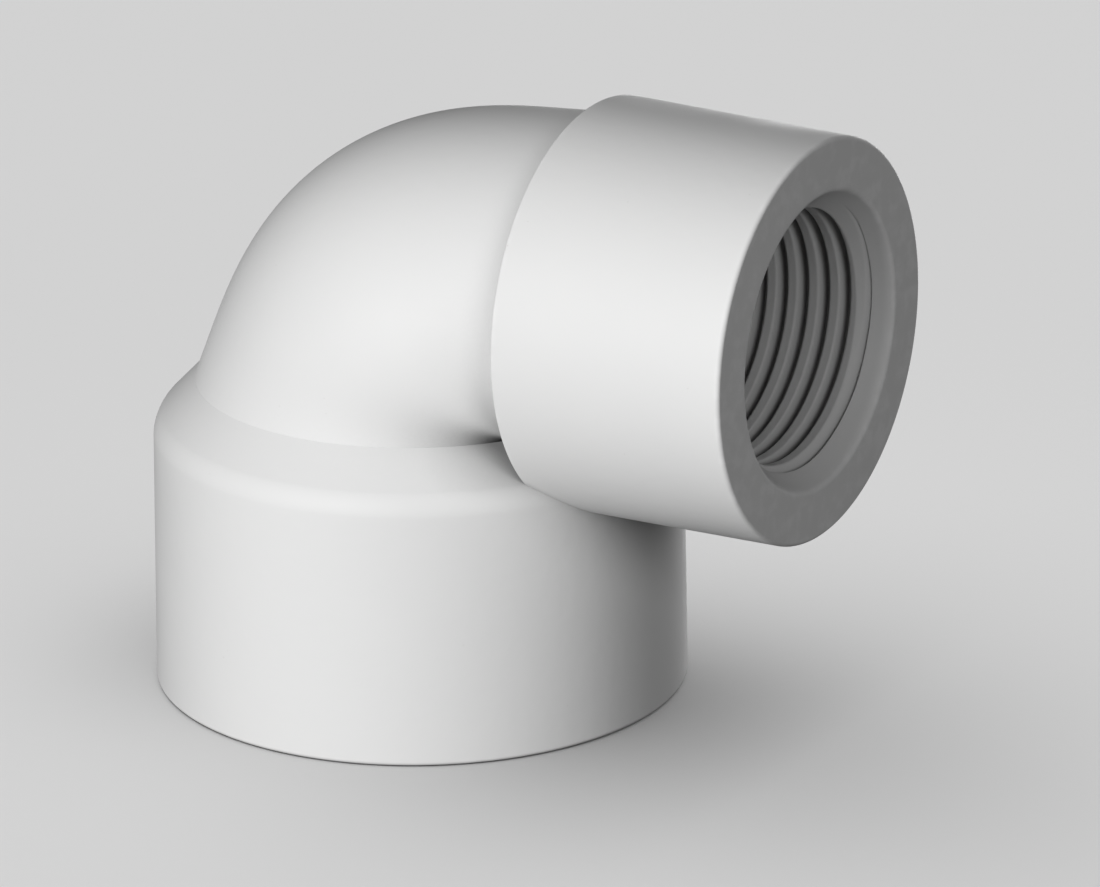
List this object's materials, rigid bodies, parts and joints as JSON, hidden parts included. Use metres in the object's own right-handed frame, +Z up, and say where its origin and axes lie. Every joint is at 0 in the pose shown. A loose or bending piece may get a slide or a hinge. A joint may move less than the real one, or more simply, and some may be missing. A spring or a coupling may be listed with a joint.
{
  "type": "pipe elbow",
  "caption": "Reducing 90-degree PVC pipe elbow with a plain slip socket at one end and a female-threaded hub at the other.",
  "frame": {"origin": "middle of the slip socket's open end, which is the face that the fitting stands on", "axes": "+Z up the socket's axis, away from its open end; +X out along the threaded outlet's axis"},
  "size_m": [0.0564, 0.0416, 0.0487],
  "materials": {
    "pvc": "satin"
  },
  "bodies": {
    "root": {"slip_socket": "pvc", "socket_shoulder": "pvc", "elbow_bend": "pvc", "outlet_back_wall": "pvc", "outlet_hub": "pvc", "outlet_thread": "pvc"}
  },
  "joints": []
}
